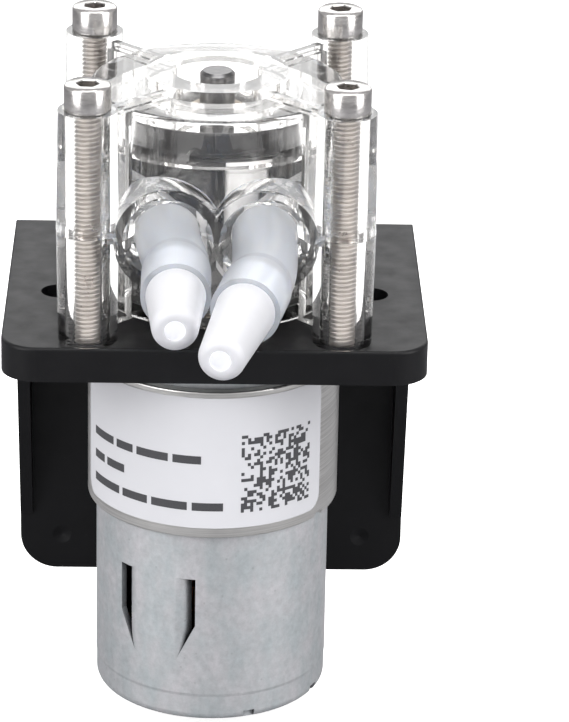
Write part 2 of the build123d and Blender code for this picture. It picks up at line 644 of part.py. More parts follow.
def ring_sector(outer_r, inner_r, low_z, high_z, middle_azimuth, span):
    """A stretch of a hollow cylinder, centred on an azimuth counted from -Y towards +X."""
    middle = Pos((outer_r + inner_r) / 2, (low_z + high_z) / 2)
    profile = middle * Rectangle(outer_r - inner_r, high_z - low_z)
    swept = revolve(Plane.XZ * profile, Axis.Z, span)
    return Rot(0, 0, middle_azimuth - 90 - span / 2) * swept


def label_corner(side, corner_z, up):
    """A radial cutter, built facing -Y, that rounds the label corner on one side at one height."""
    r = LABEL_CORNER_R
    near_y, far_y = -FLUX_RING_R + CUT_PAST, -FLUX_RING_R - CUT_PAST
    xs = sorted((-side * r, side))
    zs = sorted((corner_z - up * r, corner_z + up))
    square = block((xs[0], far_y, zs[0]), (xs[1], near_y, zs[1]))
    return square - y_rod(r, far_y - CUT_PAST, near_y + CUT_PAST, -side * r, corner_z - up * r)


def motor_label():
    """The self-adhesive label wrapped on the sleeve."""
    middle = (LABEL_LEFT_AZIMUTH + LABEL_RIGHT_AZIMUTH) / 2
    span = LABEL_RIGHT_AZIMUTH - LABEL_LEFT_AZIMUTH
    inner_r = FLUX_RING_R + LABEL_GLUE
    label = ring_sector(inner_r + LABEL_THICKNESS, inner_r, LABEL_BOTTOM_Z, LABEL_TOP_Z, middle, span)
    for azimuth, side in ((LABEL_LEFT_AZIMUTH, -1), (LABEL_RIGHT_AZIMUTH, 1)):
        for corner_z, up in ((LABEL_BOTTOM_Z, -1), (LABEL_TOP_Z, 1)):
            label -= to_azimuth(azimuth) * label_corner(side, corner_z, up)
    return label


# ---- Motor inside ----
def motor_magnets():
    """Two arc magnets bonded inside the can."""
    outer_r = CAN_R - CAN_WALL - MAGNET_BOND
    arcs = [
        ring_sector(outer_r, MAGNET_INNER_R, MAGNET_BOTTOM_Z, MAGNET_TOP_Z, azimuth, MAGNET_SPAN)
        for azimuth in (0, 180)
    ]
    return Compound(children=arcs)


def magnet_clips():
    """Two thin spring clips that push the magnets apart in the gaps between them."""
    outer_r = CAN_R - CAN_WALL - MAGNET_BOND
    gap_span = 180 - MAGNET_SPAN - CLIP_SIDE_GAP
    low, high = MAGNET_BOTTOM_Z + CLIP_END_GAP, MAGNET_TOP_Z - CLIP_END_GAP
    clips = [
        ring_sector(outer_r, outer_r - CLIP_THICKNESS, low, high, azimuth, gap_span) for azimuth in (90, 270)
    ]
    return Compound(children=clips)


def armature_core():
    """The slotted stack of laminations on the motor shaft."""
    core = rod(CORE_R, CORE_BOTTOM_Z, CORE_TOP_Z)
    low, high = CORE_BOTTOM_Z - CUT_PAST, CORE_TOP_Z + CUT_PAST
    core -= rod(SHAFT_R + SEAT_CLEARANCE, low, high)
    for index in range(CORE_SLOTS):
        turn = Rot(0, 0, index * 360 / CORE_SLOTS)
        core -= turn * rod(CORE_SLOT_R, low, high, CORE_SLOT_ORBIT_R)
        half = CORE_SLOT_MOUTH / 2
        core -= turn * block((CORE_SLOT_ORBIT_R, -half, low), (CORE_R + CUT_PAST, half, high))
    return core


def armature_winding():
    """The copper winding: bundles through the slots joined by end turns above and below the stack."""
    gap = WINDING_CLEARANCE
    outer_r = CORE_SLOT_ORBIT_R + CORE_SLOT_R - gap
    ends = []
    for low in (CORE_TOP_Z + gap, CORE_BOTTOM_Z - gap - WINDING_END_LENGTH):
        turns = rod(outer_r, low, low + WINDING_END_LENGTH)
        turns = fillet(turns.edges().filter_by(GeomType.CIRCLE), WINDING_END_LENGTH / 3)
        ends.append(turns - rod(WINDING_END_INNER_R, low - CUT_PAST, low + WINDING_END_LENGTH + CUT_PAST))
    winding = ends[0] + ends[1]
    low, high = CORE_BOTTOM_Z - gap - WINDING_OVERLAP, CORE_TOP_Z + gap + WINDING_OVERLAP
    for index in range(CORE_SLOTS):
        bundle = rod(CORE_SLOT_R - gap, low, high, CORE_SLOT_ORBIT_R)
        winding += Rot(0, 0, index * 360 / CORE_SLOTS) * bundle
    return winding


def commutator():
    """The copper commutator with its insulating slits."""
    body = rod(COMMUTATOR_R, COMMUTATOR_BOTTOM_Z, COMMUTATOR_TOP_Z)
    low, high = COMMUTATOR_BOTTOM_Z - CUT_PAST, COMMUTATOR_TOP_Z + CUT_PAST
    body -= rod(SHAFT_R + SEAT_CLEARANCE, low, high)
    half = COMMUTATOR_SLIT / 2
    slit = block(
        (COMMUTATOR_R - COMMUTATOR_SLIT_DEPTH, -half, low),
        (COMMUTATOR_R + CUT_PAST, half, COMMUTATOR_TOP_Z - COMMUTATOR_SLIT_DEPTH),
    )
    for index in range(CORE_SLOTS):
        body -= Rot(0, 0, (index + 0.5) * 360 / CORE_SLOTS) * slit
    return body


def motor_shaft():
    """The steel motor shaft, from the rear bearing up into the drive sleeve."""
    shaft = rod(SHAFT_R, SHAFT_BOTTOM_Z, SHAFT_TOP_Z)
    return chamfer(shaft.edges().filter_by(GeomType.CIRCLE), SHAFT_CHAMFER)


def bush(outer_r, inner_r, low_z, high_z):
    """A plain bearing bush on the shaft axis."""
    return rod(outer_r, low_z, high_z) - rod(inner_r, low_z - CUT_PAST, high_z + CUT_PAST)


def rear_bearing_z():
    """The height of the rear bearing's lower face, just above the floor of the end cap's boss."""
    return MOTOR_BOTTOM_Z - END_CAP_BOSS_LENGTH + BEARING_FLOOR


def motor_end_cap():
    """The moulded rear cap that carries the rear bearing, the brush gear and the terminals."""
    cap = rod(CAN_R - CAN_WALL - END_CAP_FIT, MOTOR_BOTTOM_Z + CAN_LIP_HEIGHT + END_CAP_FIT, END_CAP_TOP_Z)
    cap += rod(END_CAP_BOSS_R, MOTOR_BOTTOM_Z - END_CAP_BOSS_LENGTH, END_CAP_TOP_Z)
    cap = fillet(cap.faces().sort_by(Axis.Z)[0].edges(), END_CAP_EDGE_R)
    cap -= rod(BEARING_R + SEAT_CLEARANCE, rear_bearing_z(), END_CAP_TOP_Z + CUT_PAST)
    for side in (-1, 1):
        half_width, half_thick = TERMINAL_WIDTH / 2 + SEAT_CLEARANCE, TERMINAL_THICKNESS / 2 + SEAT_CLEARANCE
        x = side * TERMINAL_X
        cap -= block(
            (x - half_width, TERMINAL_Y - half_thick, MOTOR_BOTTOM_Z - CUT_PAST),
            (x + half_width, TERMINAL_Y + half_thick, END_CAP_TOP_Z + CUT_PAST),
        )
    return cap


def brush_middle_z():
    """The height of the brushes, halfway along the commutator."""
    return (COMMUTATOR_TOP_Z + COMMUTATOR_BOTTOM_Z) / 2


def carbon_brushes():
    """Two carbon brushes that bear on the commutator."""
    z = brush_middle_z()
    half_y, half_z = BRUSH_WIDTH / 2, BRUSH_HEIGHT / 2
    brush = block((BRUSH_INNER_X, -half_y, z - half_z), (BRUSH_OUTER_X, half_y, z + half_z))
    return Compound(children=[brush, Rot(0, 0, 180) * brush])


def brush_holders():
    """Two brass holders that stand on the end cap and guide the brushes."""
    z = brush_middle_z()
    half_y, half_z = BRUSH_WIDTH / 2 + BRUSH_HOLDER_FIT, BRUSH_HEIGHT / 2 + BRUSH_HOLDER_FIT
    wall = BRUSH_HOLDER_WALL
    holder = block(
        (BRUSH_HOLDER_INNER_X, -half_y - wall, END_CAP_TOP_Z),
        (BRUSH_OUTER_X - BRUSH_HOLDER_SETBACK, half_y + wall, z + half_z + wall),
    )
    inner_x, outer_x = BRUSH_HOLDER_INNER_X - CUT_PAST, BRUSH_OUTER_X + CUT_PAST
    holder -= block((inner_x, -half_y, z - half_z), (outer_x, half_y, z + half_z))
    return Compound(children=[holder, Rot(0, 0, 180) * holder])


def brush_springs():
    """Two leaf springs that push the brushes in from behind."""
    z = brush_middle_z()
    inner = BRUSH_OUTER_X + BRUSH_SPRING_GAP
    outer = inner + BRUSH_SPRING_THICKNESS
    half_y = BRUSH_WIDTH / 2 - BRUSH_SPRING_SIDE_GAP
    leaf = block((inner, -half_y, END_CAP_TOP_Z), (outer, half_y, z + BRUSH_SPRING_REACH))
    return Compound(children=[leaf, Rot(0, 0, 180) * leaf])


def motor_terminals():
    """Two solder tabs through the end cap."""
    half_width, half_thick = TERMINAL_WIDTH / 2, TERMINAL_THICKNESS / 2
    tabs = []
    for side in (-1, 1):
        x = side * TERMINAL_X
        tab = block(
            (x - half_width, TERMINAL_Y - half_thick, TERMINAL_BOTTOM_Z),
            (x + half_width, TERMINAL_Y + half_thick, END_CAP_TOP_Z + TERMINAL_STUB),
        )
        tab = fillet(tab.edges().filter_by(Axis.Y).sort_by(Axis.Z)[:2], TERMINAL_CORNER_R)
        hole_z = TERMINAL_BOTTOM_Z + TERMINAL_HOLE_EDGE
        tab -= y_rod(TERMINAL_HOLE_R, TERMINAL_Y - CUT_PAST, TERMINAL_Y + CUT_PAST, x, hole_z)
        tabs.append(tab)
    return Compound(children=tabs)


# ---- Pump rotor ----
def drive_sleeve():
    """The hardened sleeve pressed on the motor shaft; its outside is the sun of the friction drive."""
    sleeve = rod(SUN_R, SUN_BOTTOM_Z, POST_TOP_Z)
    sleeve = chamfer(sleeve.faces().sort_by(Axis.Z)[-1].edges(), SUN_CHAMFER)
    socket_top = SHAFT_TOP_Z + SHAFT_SOCKET_CLEARANCE
    return sleeve - rod(SHAFT_R + SEAT_CLEARANCE, SUN_BOTTOM_Z - CUT_PAST, socket_top)


def carrier_plate(radius, low_z, high_z):
    """A round carrier plate with its shaft bush bore and roller pin holes."""
    plate = rod(radius, low_z, high_z)
    plate = fillet(plate.edges().filter_by(GeomType.CIRCLE), CARRIER_EDGE_R)
    low, high = low_z - CUT_PAST, high_z + CUT_PAST
    plate -= rod(CARRIER_BUSH_R + SEAT_CLEARANCE, low, high)
    for angle in ROLLER_ANGLES:
        plate -= rod(PIN_R + SEAT_CLEARANCE, low, high, *polar(ROLLER_ORBIT_R, angle))
    return plate


BOTTOM_PLATE_Z = ROLLER_BOTTOM_Z - CARRIER_PLATE_GAP - CARRIER_PLATE_THICKNESS
TOP_PLATE_Z = ROLLER_TOP_Z + CARRIER_PLATE_GAP
CARRIER_TOP_Z = TOP_PLATE_Z + CARRIER_COVER_THICKNESS
SCREW_ANGLES = [angle + 60 for angle in ROLLER_ANGLES]


def carrier_base():
    """The lower carrier plate with three standing blocks that space the rollers apart."""
    bottom = BOTTOM_PLATE_Z + CARRIER_PLATE_THICKNESS
    past_top = TOP_PLATE_Z + CUT_PAST
    blocks = rod(CARRIER_BLOCK_OUTER_R, bottom - CARRIER_PLATE_THICKNESS / 2, TOP_PLATE_Z)
    blocks -= rod(CARRIER_BLOCK_INNER_R, BOTTOM_PLATE_Z, past_top)
    for angle in ROLLER_ANGLES:
        pocket_r = ROLLER_R + CARRIER_POCKET_CLEARANCE
        blocks -= rod(pocket_r, bottom, past_top, *polar(ROLLER_ORBIT_R, angle))
    base = carrier_plate(CARRIER_R, BOTTOM_PLATE_Z, bottom) + blocks
    base -= rod(CARRIER_BUSH_R + SEAT_CLEARANCE, BOTTOM_PLATE_Z - CUT_PAST, bottom)
    for angle in ROLLER_ANGLES:
        base -= rod(PIN_R + SEAT_CLEARANCE, BOTTOM_PLATE_Z - CUT_PAST, bottom, *polar(ROLLER_ORBIT_R, angle))
    for angle in SCREW_ANGLES:
        place = polar(CARRIER_SCREW_ORBIT_R, angle)
        hole_bottom = TOP_PLATE_Z - CARRIER_SCREW_HOLE_DEPTH
        base -= rod(CARRIER_SCREW_R + SEAT_CLEARANCE, hole_bottom, past_top, *place)
    return base


def carrier_cover():
    """The upper carrier plate, screwed down on the blocks."""
    top = CARRIER_TOP_Z
    plate = carrier_plate(CARRIER_COVER_R, TOP_PLATE_Z, top)
    hole_r, head_r = CARRIER_SCREW_R + SEAT_CLEARANCE, CARRIER_SCREW_HEAD_R + RUNNING_CLEARANCE
    for angle in SCREW_ANGLES:
        place = polar(CARRIER_SCREW_ORBIT_R, angle)
        plate -= rod(hole_r, TOP_PLATE_Z - CUT_PAST, top + CUT_PAST, *place)
        plate -= taper(hole_r, head_r, top - CARRIER_SCREW_HEAD_DEPTH, top, *place)
    return plate


def carrier_screws():
    """Three small countersunk screws through the carrier cover."""
    top = CARRIER_TOP_Z
    neck_z = top - CARRIER_SCREW_HEAD_DEPTH
    screw = rod(CARRIER_SCREW_R, TOP_PLATE_Z - CARRIER_SCREW_LENGTH, neck_z)
    screw += taper(CARRIER_SCREW_R, CARRIER_SCREW_HEAD_R, neck_z, top - RUNNING_CLEARANCE)
    slot_width, slot_depth = CARRIER_SCREW_SLOT
    half, reach = slot_width / 2, CARRIER_SCREW_HEAD_R
    screw -= block((-half, -reach, top - slot_depth), (half, reach, top))
    return Compound(
        children=[Pos(*polar(CARRIER_SCREW_ORBIT_R, angle), 0) * screw for angle in SCREW_ANGLES]
    )


def carrier_bushes():
    """Two sintered bushes that centre the carrier on the drive sleeve."""
    inner_r = SUN_R + RUNNING_CLEARANCE
    return Compound(
        children=[
            bush(CARRIER_BUSH_R, inner_r, BOTTOM_PLATE_Z, BOTTOM_PLATE_Z + CARRIER_PLATE_THICKNESS),
            bush(CARRIER_BUSH_R, inner_r, TOP_PLATE_Z, CARRIER_TOP_Z),
        ]
    )


def roller_pins():
    """Three steel pins that the rollers turn on."""
    low = BOTTOM_PLATE_Z + PIN_RECESS
    high = CARRIER_TOP_Z - PIN_RECESS
    pins = [rod(PIN_R, low, high, *polar(ROLLER_ORBIT_R, angle)) for angle in ROLLER_ANGLES]
    return Compound(children=pins)


def roller(angle):
    """One plastic roller with a fine groove near each end."""
    x, y = polar(ROLLER_ORBIT_R, angle)
    body = rod(ROLLER_R, ROLLER_BOTTOM_Z, ROLLER_TOP_Z, x, y)
    body = chamfer(body.edges().filter_by(GeomType.CIRCLE), ROLLER_CHAMFER)
    low, high = ROLLER_BOTTOM_Z - CUT_PAST, ROLLER_TOP_Z + CUT_PAST
    for place in ROLLER_GROOVE_PLACES:
        groove_z = ROLLER_BOTTOM_Z + place
        collar = rod(ROLLER_R + CUT_PAST, groove_z, groove_z + ROLLER_GROOVE_WIDTH, x, y)
        body -= collar - rod(ROLLER_R - ROLLER_GROOVE_DEPTH, low, high, x, y)
    return body - rod(PIN_R + RUNNING_CLEARANCE, low, high, x, y)


# ---- All pieces ----
def all_pieces():
    """Every piece of the pump by node name."""
    head_body, head_cover = head_halves()
    pieces = {
        "mounting_bracket": mounting_bracket(),
        "head_body": head_body,
        "head_cover": head_cover,
        "head_screws": head_screws(),
        "pump_tube": pump_tube(),
        "inlet_connector": connector(INLET_END, INLET_HEADING, INLET_CONE_LENGTH),
        "outlet_connector": connector(OUTLET_END, OUTLET_HEADING, OUTLET_CONE_LENGTH),
        "motor_screws": motor_screws(),
        "motor_can": motor_can(),
        "flux_ring": flux_ring(),
        "motor_label": motor_label(),
        "motor_magnets": motor_magnets(),
        "magnet_clips": magnet_clips(),
        "front_bearing": bush(
            BEARING_R, SHAFT_R + RUNNING_CLEARANCE, MOTOR_TOP_Z - CAN_WALL, MOTOR_TOP_Z + CAN_BOSS_HEIGHT
        ),
        "rear_bearing": bush(BEARING_R, SHAFT_R + RUNNING_CLEARANCE, rear_bearing_z(), END_CAP_TOP_Z),
        "motor_end_cap": motor_end_cap(),
        "brush_holders": brush_holders(),
        "brush_springs": brush_springs(),
        "carbon_brushes": carbon_brushes(),
        "motor_terminals": motor_terminals(),
        "motor_shaft": motor_shaft(),
        "armature_core": armature_core(),
        "armature_winding": armature_winding(),
        "commutator": commutator(),
        "drive_sleeve": drive_sleeve(),
        "carrier_base": carrier_base(),
        "carrier_cover": carrier_cover(),
        "carrier_screws": carrier_screws(),
        "carrier_bushes": carrier_bushes(),
        "roller_pins": roller_pins(),
    }
    for number, angle in enumerate(ROLLER_ANGLES, start=1):
        pieces[f"roller_{number}"] = roller(angle)
    return pieces


os.makedirs("parts", exist_ok=True)
for node, shape in all_pieces().items():
    export_step(shape, f"parts/{node}.step")
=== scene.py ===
import json
import math
import random

import bmesh
import bpy
from mathutils import Matrix, Vector


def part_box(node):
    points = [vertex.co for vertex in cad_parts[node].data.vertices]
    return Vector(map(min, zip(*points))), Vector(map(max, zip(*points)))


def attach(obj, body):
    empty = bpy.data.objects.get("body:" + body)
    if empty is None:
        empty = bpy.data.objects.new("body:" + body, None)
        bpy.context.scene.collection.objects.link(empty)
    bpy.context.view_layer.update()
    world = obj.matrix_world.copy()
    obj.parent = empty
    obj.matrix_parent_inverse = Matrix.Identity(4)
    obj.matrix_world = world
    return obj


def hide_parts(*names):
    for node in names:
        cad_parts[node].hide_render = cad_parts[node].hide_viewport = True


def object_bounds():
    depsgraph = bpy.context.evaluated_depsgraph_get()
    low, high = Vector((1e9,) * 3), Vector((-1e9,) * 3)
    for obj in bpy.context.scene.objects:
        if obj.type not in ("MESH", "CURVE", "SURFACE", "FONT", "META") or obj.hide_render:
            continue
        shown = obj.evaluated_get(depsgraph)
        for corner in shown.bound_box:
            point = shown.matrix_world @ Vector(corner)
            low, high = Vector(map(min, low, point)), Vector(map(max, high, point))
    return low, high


# Looks of the peristaltic pump: a clear roller head on a black bracket over a brushed motor.
# All lengths are in metres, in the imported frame: +Z up the shaft, -Y towards the hose ports.

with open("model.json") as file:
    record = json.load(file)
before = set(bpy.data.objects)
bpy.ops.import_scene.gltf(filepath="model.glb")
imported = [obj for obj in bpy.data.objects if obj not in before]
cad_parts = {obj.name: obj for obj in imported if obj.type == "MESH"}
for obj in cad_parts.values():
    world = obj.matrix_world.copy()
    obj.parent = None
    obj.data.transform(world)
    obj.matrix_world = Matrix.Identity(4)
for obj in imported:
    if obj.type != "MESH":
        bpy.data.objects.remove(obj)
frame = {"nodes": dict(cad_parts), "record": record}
CAD_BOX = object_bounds()
MM = 0.001

# ---- Places read from the frame ----
SCREW_LOW, SCREW_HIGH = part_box("head_screws")
LABEL_LOW, LABEL_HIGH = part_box("motor_label")
LABEL_R = -LABEL_LOW.y
FLOOR_Z = CAD_BOX[0][2] - 0.5 * MM

# ---- Head screws: M4 socket heads ----
SCREW_HEAD_R = 3.5 * MM
SCREW_HEAD_HEIGHT = 4.0 * MM
SCREW_EDGE = 0.45 * MM
SCREW_SOCKET_FLATS = 3.0 * MM
SCREW_SOCKET_DEPTH = 2.2 * MM
SCREW_POINT_DEPTH = 0.5 * MM
THREAD_PITCH = 0.7 * MM
THREAD_R = 1.95 * MM
THREAD_DEPTH = 0.4 * MM
THREAD_STEPS_ROUND = 40
THREAD_PROFILE = (0.0, 0.0, 0.5, 1.0, 1.0, 0.5)
SCREW_SEGMENTS = 72
SCREW_SOCKET_TURNS = (0.1, 0.55, 0.3, 0.8)

# ---- Label print: azimuths in degrees from -Y towards +X, heights as shares of the label from its top ----
PRINT_THICKNESS = 0.02 * MM
PRINT_LIFT = 0.005 * MM
PRINT_STEP_DEGREES = 1.5
WORD_GAP_DEGREES = 2.2
BAR_LEFT = -67.0
BAR_HEIGHT = 0.062
BAR_ROWS = (
    (0.475, (16.0, 10.0, 16.0, 13.0)),
    (0.655, (9.0, 12.0)),
    (0.835, (20.0, 14.0, 17.0, 14.0)),
)
CODE_CELLS = 25
CODE_LEFT = 12.6
CODE_RIGHT = 48.6
CODE_TOP = 0.29
CODE_BOTTOM = 0.885
CODE_FILLED_SHARE = 0.48
CODE_SEED = 11

# ---- Meshes and materials ----
CAD_SHARP_DEGREES = 32
PIECE_SHARP_DEGREES = 35
MERGE_DISTANCE = 1e-7
STRAIGHT_THROUGH_SHARE = 0.06
RECESS_GLOW = 0.5

# ---- Camera ----
CAMERA_TARGET = Vector((10.94, 0.0, -11.27)) * MM
CAMERA_DISTANCE = 620.3 * MM
CAMERA_ELEVATION = 22.43
CAMERA_AZIMUTH = -1.375
CAMERA_ROLL = 1.144
CAMERA_LENS = 199.45
SENSOR_SIZE = 36.0

# ---- Room: each ramp stop is a place from 0 to 1 along its axis and a grey ----
FLOOR_HALF = 3.0
ROOM_FRONT = (0.3, 0.62)
ROOM_BACK = (0.8, 0.5)
ROOM_MIDDLE_THROUGH = (0.6, 0.95)
ROOM_SIDE_THROUGH = (0.85, 0.25)
ROOM_BLUE = 1.015
FLOOR_MIDDLE_THROUGH = (0.12, 0.86)
FLOOR_SIDE_THROUGH = (0.42, 0.36)
FLOOR_GLOW = 0.75

# ---- Softboxes: name, place, size and power ----
LIGHT_TARGET = Vector((0.0, 0.0, 0.0))
SOFTBOXES = (
    ("softbox_left", (-0.7, -0.55, 0.3), (0.6, 0.9), 8.0),
    ("softbox_right", (0.75, -0.45, 0.28), (0.5, 0.9), 6.8),
    ("softbox_top", (0.05, -0.25, 0.9), (0.8, 0.6), 6.0),
    ("softbox_back", (0.0, 1.0, 0.5), (1.6, 0.5), 5.0),
)


# ---- Node helpers ----
class Recipe:
    """A node material with one surface shader, built up through short calls."""

    def __init__(self, name):
        self.material = bpy.data.materials.new(name)
        self.material.use_nodes = True
        self.tree = self.material.node_tree
        self.tree.nodes.clear()
        self.shader = self.node("ShaderNodeBsdfPrincipled")
        self.output = self.node("ShaderNodeOutputMaterial")
        self.link(self.shader.outputs[0], self.output.inputs["Surface"])
        self.place = self.node("ShaderNodeTexCoord").outputs["Object"]

    def node(self, kind, **settings):
        made = self.tree.nodes.new(kind)
        for key, value in settings.items():
            setattr(made, key, value)
        return made

    def link(self, source, target):
        self.tree.links.new(source, target)

    def set(self, **inputs):
        """Sets shader inputs; spaces in their names are written as underscores."""
        for key, value in inputs.items():
            socket = self.shader.inputs[key.replace("_", " ")]
            if isinstance(value, bpy.types.NodeSocket):
                self.link(value, socket)
            else:
                socket.default_value = value
        return self

    def stretched(self, x, y, z):
        """Object coordinates scaled along each axis."""
        mapping = self.node("ShaderNodeMapping")
        mapping.inputs["Scale"].default_value = (x, y, z)
        self.link(self.place, mapping.inputs["Vector"])
        return mapping.outputs[0]

    def noise(self, scale, detail=3.0, rough=0.5, vector=None):
        made = self.node("ShaderNodeTexNoise")
        made.inputs["Scale"].default_value = scale
        made.inputs["Detail"].default_value = detail
        made.inputs["Roughness"].default_value = rough
        self.link(vector or self.place, made.inputs["Vector"])
        return made.outputs["Fac"]

    def cells(self, scale, vector=None):
        made = self.node("ShaderNodeTexVoronoi")
        made.inputs["Scale"].default_value = scale
        self.link(vector or self.place, made.inputs["Vector"])
        return made.outputs["Distance"]

    def ramp(self, factor, *stops):
        """A colour ramp; each stop is a place and a grey or a colour."""
        made = self.node("ShaderNodeValToRGB")
        elements = made.color_ramp.elements
        while len(elements) < len(stops):
            elements.new(0.5)
        for element, (place, color) in zip(elements, stops):
            element.position = place
            rgb = (color, color, color) if isinstance(color, (int, float)) else color
            element.color = (*rgb, 1.0)
        self.link(factor, made.inputs["Fac"])
        return made.outputs["Color"]

    def mixed(self, factor, a, b, mode="MIX"):
        made = self.node("ShaderNodeMix", data_type="RGBA", blend_type=mode)
        for key, value in (("Factor", factor), ("A", a), ("B", b)):
            socket = made.inputs[key]
            if isinstance(value, bpy.types.NodeSocket):
                self.link(value, socket)
            elif isinstance(value, (int, float)):
                socket.default_value = value
            else:
                socket.default_value = (*value, 1.0)
        return made.outputs["Result"]

    def math(self, operation, a, b=0.0):
        made = self.node("ShaderNodeMath", operation=operation)
        for socket, value in zip(made.inputs, (a, b)):
            if isinstance(value, bpy.types.NodeSocket):
                self.link(value, socket)
            else:
                socket.default_value = value
        return made.outputs[0]

    def between(self, factor, low, high):
        """A factor from 0 to 1 spread between two values."""
        made = self.node("ShaderNodeMapRange")
        made.inputs["To Min"].default_value = low
        made.inputs["To Max"].default_value = high
        self.link(factor, made.inputs["Value"])
        return made.outputs[0]

    def open_sky(self, reach, low, high):
        """A factor that falls from 1 on open faces to 0 in recesses, felt out to a reach in metres."""
        occlusion = self.node("ShaderNodeAmbientOcclusion")
        occlusion.inputs["Distance"].default_value = reach
        return self.ramp(occlusion.outputs["AO"], (low, 0.0), (high, 1.0))

    def bumped(self, height, strength, depth):
        made = self.node("ShaderNodeBump")
        made.inputs["Strength"].default_value = strength
        made.inputs["Distance"].default_value = depth
        self.link(height, made.inputs["Height"])
        self.link(made.outputs[0], self.shader.inputs["Normal"])
        return self


# ---- Materials ----
def black_plastic():
    """Moulded black plastic: a fine spark grain, faint flow clouding, light handling marks and dust."""
    r = Recipe("black_moulded_plastic")
    clouds = r.noise(120, 4)
    dust = r.ramp(r.cells(900), (0.02, 1.0), (0.07, 0.0))
    color = r.mixed(clouds, (0.003, 0.003, 0.0036), (0.006, 0.006, 0.007))
    color = r.mixed(r.math("MULTIPLY", dust, 0.25), color, (0.06, 0.06, 0.06))
    marks = r.ramp(r.noise(260, 5), (0.35, 0.0), (0.7, 1.0))
    r.set(Base_Color=color, Specular_IOR_Level=0.22, Roughness=r.between(marks, 0.4, 0.5))
    grain = r.math("ADD", r.noise(5200, 2), r.math("MULTIPLY", r.noise(900, 3), 0.5))
    return r.bumped(grain, 0.22, 0.00004).material


def clear_plastic():
    """Clear moulding: refracting, faintly warm, slowly rippled; some light goes straight through."""
    r = Recipe("clear_moulded_plastic")
    color = r.mixed(r.noise(90, 2), (0.965, 0.957, 0.945), (0.95, 0.942, 0.926))
    r.set(Base_Color=color, Transmission_Weight=1.0, IOR=1.48)
    r.set(Roughness=r.between(r.noise(500, 3), 0.0, 0.006))
    r.bumped(r.noise(150, 2), 0.04, 0.0001)
    clear = r.node("ShaderNodeBsdfTransparent")
    clear.inputs["Color"].default_value = (0.965, 0.958, 0.945, 1.0)
    path = r.node("ShaderNodeLightPath")
    passing = r.math("MAXIMUM", path.outputs["Is Shadow Ray"], path.outputs["Is Diffuse Ray"])
    mix = r.node("ShaderNodeMixShader")
    r.link(r.math("MAXIMUM", passing, STRAIGHT_THROUGH_SHARE), mix.inputs["Fac"])
    r.link(r.shader.outputs[0], mix.inputs[1])
    r.link(clear.outputs[0], mix.inputs[2])
    r.link(mix.outputs[0], r.output.inputs["Surface"])
    return r.material


def silicone():
    """Translucent silicone tube: milky and bluish with a soft sheen and faint drawn streaks."""
    r = Recipe("translucent_silicone")
    streaks = r.noise(240, 2, 0.5, r.stretched(1.0, 0.2, 1.0))
    color = r.mixed(streaks, (0.74, 0.765, 0.81), (0.82, 0.84, 0.875))
    r.set(Base_Color=color, Transmission_Weight=0.72, IOR=1.3)
    r.set(Roughness=r.between(r.noise(300, 2), 0.2, 0.26))
    r.set(Subsurface_Weight=0.5, Subsurface_Radius=(0.003, 0.0034, 0.004), Subsurface_Scale=0.6)
    return r.bumped(r.noise(420, 2), 0.05, 0.00005).material


def white_plastic():
    """White connector plastic: satin; a faint glow in recesses stands in for scattered light."""
    r = Recipe("white_moulded_plastic")
    color = r.mixed(r.noise(350, 4), (0.53, 0.53, 0.55), (0.57, 0.57, 0.59))
    r.set(Base_Color=color, Roughness=r.between(r.noise(1500, 3), 0.32, 0.45))
    r.set(Subsurface_Weight=0.6, Subsurface_Radius=(0.003, 0.003, 0.0032), Subsurface_Scale=0.6)
    glow = r.math("SUBTRACT", 1.0, r.open_sky(0.004, 0.1, 0.72))
    r.set(Emission_Color=(0.96, 0.97, 1.0, 1.0), Emission_Strength=r.math("MULTIPLY", glow, RECESS_GLOW))
    return r.bumped(r.noise(3800, 2), 0.06, 0.00004).material


def metal(name, dark, light, rough, scale, stretch=(1, 1, 1), bump=0.1, depth=0.00002):
    """A metal with mottled colour and fine surface lines or grain."""
    r = Recipe(name)
    vector = r.stretched(*stretch)
    pattern = r.noise(scale, 4, 0.6, vector)
    r.set(Base_Color=r.mixed(r.ramp(pattern, (0.3, 0.0), (0.7, 1.0)), dark, light), Metallic=1.0)
    r.set(Roughness=r.between(pattern, *rough))
    return r.bumped(r.noise(scale * 2.5, 3, 0.6, vector), bump, depth).material


def zinc_plate():
    """Zinc plating on the can: blue-green and pinkish mottling, tiny pits and drawn streaks up the side;
    painted shade darkens its recesses.
    """
    r = Recipe("zinc_plated_can")
    tint = r.ramp(
        r.noise(260, 4, 0.6, r.stretched(1, 1, 0.5)),
        (0.34, (0.56, 0.6, 0.615)),
        (0.5, (0.62, 0.635, 0.65)),
        (0.66, (0.68, 0.67, 0.69)),
    )
    blotches = r.ramp(r.noise(900, 6, 0.75), (0.32, 0.8), (0.68, 1.0))
    color = r.mixed(1.0, tint, blotches, "MULTIPLY")
    specks = r.ramp(r.cells(420), (0.02, 0.6), (0.1, 1.0))
    color = r.mixed(0.5, color, r.mixed(1.0, color, specks, "MULTIPLY"))
    # Painted shade: the colour goes near black in recesses such as the vents, found by ambient occlusion.
    color = r.mixed(r.open_sky(0.002, 0.3, 0.85), (0.025, 0.025, 0.03), color)
    r.set(Base_Color=color, Metallic=0.8, Roughness=r.between(r.noise(600, 4), 0.4, 0.6))
    return r.bumped(r.noise(1100, 4, 0.6, r.stretched(1, 1, 0.3)), 0.2, 0.00005).material


def flux_steel():
    """The rolled sleeve: bright steel with fine lines running round it."""
    r = Recipe("rolled_steel_sleeve")
    lines = r.noise(60, 6, 0.7, r.stretched(0.8, 0.8, 70))
    clouds = r.noise(160, 3)
    color = r.mixed(r.ramp(lines, (0.3, 0.0), (0.7, 1.0)), (0.5, 0.49, 0.47), (0.82, 0.81, 0.79))
    color = r.mixed(1.0, color, r.ramp(clouds, (0.3, 0.85), (0.7, 1.0)), "MULTIPLY")
    r.set(Base_Color=color, Metallic=1.0, Roughness=r.between(lines, 0.26, 0.42))
    return r.bumped(lines, 0.22, 0.00003).material


